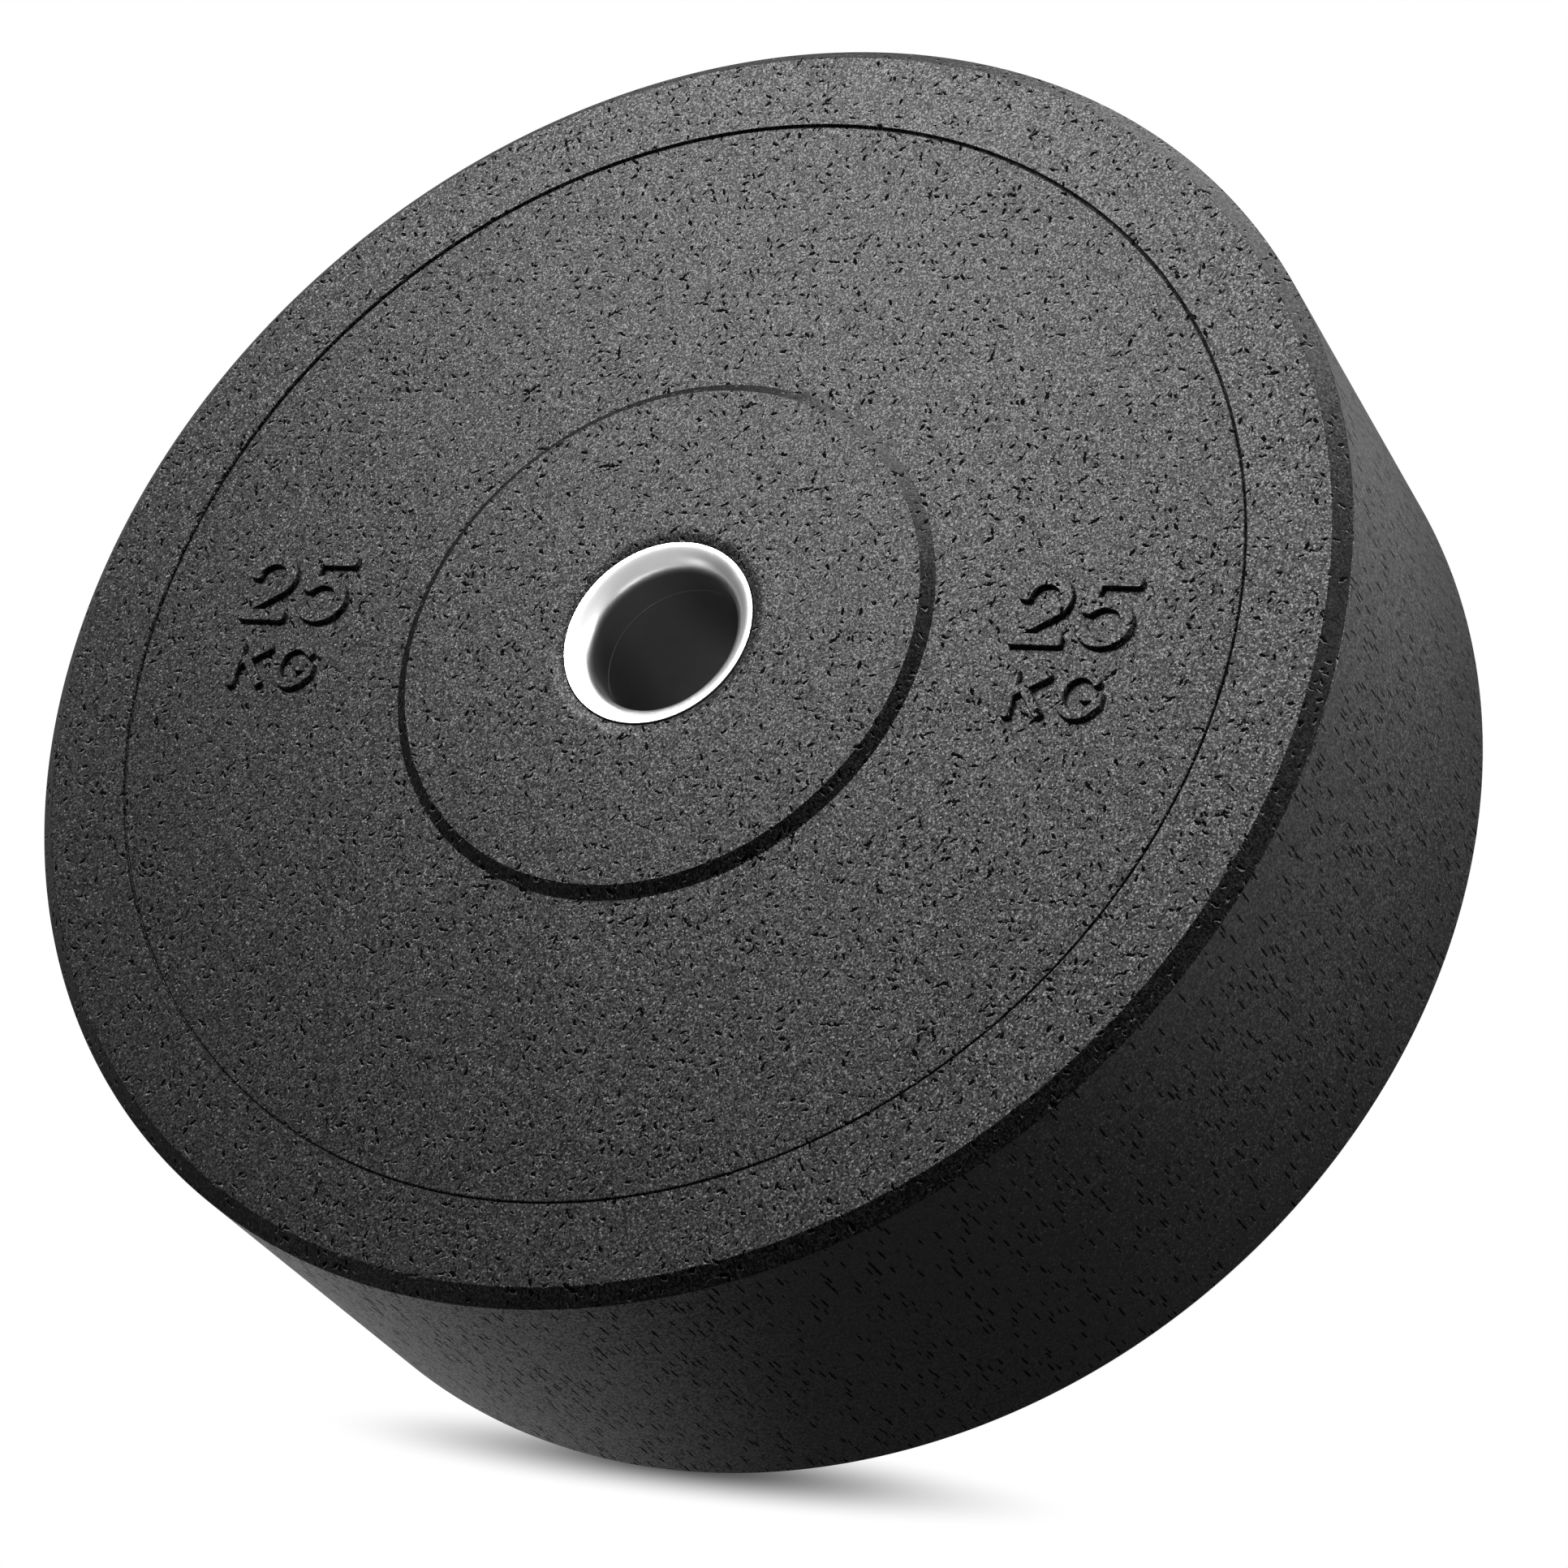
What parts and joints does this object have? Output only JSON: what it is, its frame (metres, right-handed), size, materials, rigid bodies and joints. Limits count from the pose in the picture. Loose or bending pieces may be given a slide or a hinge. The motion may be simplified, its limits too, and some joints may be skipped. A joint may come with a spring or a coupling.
{
  "type": "bumper plate",
  "caption": "Round moulded rubber weight plate with a raised hub, raised weight marks and a steel-lined bore that slides on a bar.",
  "frame": {"origin": "centre of the bore at the plane of the back hub face, on which the plate lies", "axes": "+Z along the axis of the bore, out of the marked front face; +X along the reading direction of the front marks; +Y up the marks"},
  "size_m": [0.45, 0.45, 0.151],
  "materials": {
    "crumb_rubber": "grainy bonded crumb, matt with a soft sheen",
    "sleeve_steel": "drawn tube, satin",
    "polished_steel": "polished",
    "anchor_steel": "plain mill finish"
  },
  "bodies": {
    "root": {"rubber_body": "crumb_rubber", "sleeve_tube": "sleeve_steel", "front_lip_ring": "polished_steel", "back_lip_ring": "polished_steel", "front_anchor_plate": "anchor_steel", "back_anchor_plate": "anchor_steel"}
  },
  "joints": []
}
